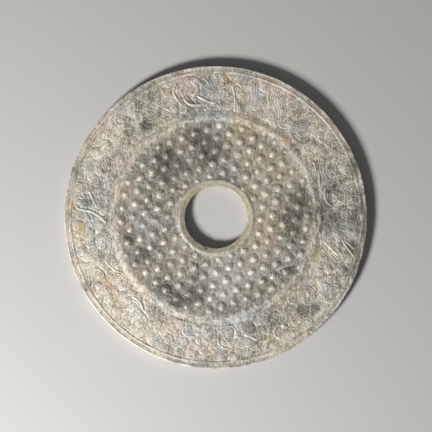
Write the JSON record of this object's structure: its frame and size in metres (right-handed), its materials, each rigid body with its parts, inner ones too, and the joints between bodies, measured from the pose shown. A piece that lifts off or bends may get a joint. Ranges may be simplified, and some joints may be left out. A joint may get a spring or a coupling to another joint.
{
  "type": "jade bi disc",
  "caption": "Flat nephrite ring with a round central hole, a field of grain bosses and an outer ring of dragon coils and masks in low relief.",
  "frame": {"origin": "centre of the back, in the plane the disc lies on, on the axis of the central hole", "axes": "+Z through the thickness, out of the carved face; +Y towards the disc's twelve o'clock"},
  "size_m": [0.16, 0.16, 0.005],
  "materials": {
    "jade": "calcified nephrite, worn satin polish, mottled grey-green and bone with brown stains"
  },
  "bodies": {
    "root": {"bi_disc": "jade"}
  },
  "joints": []
}
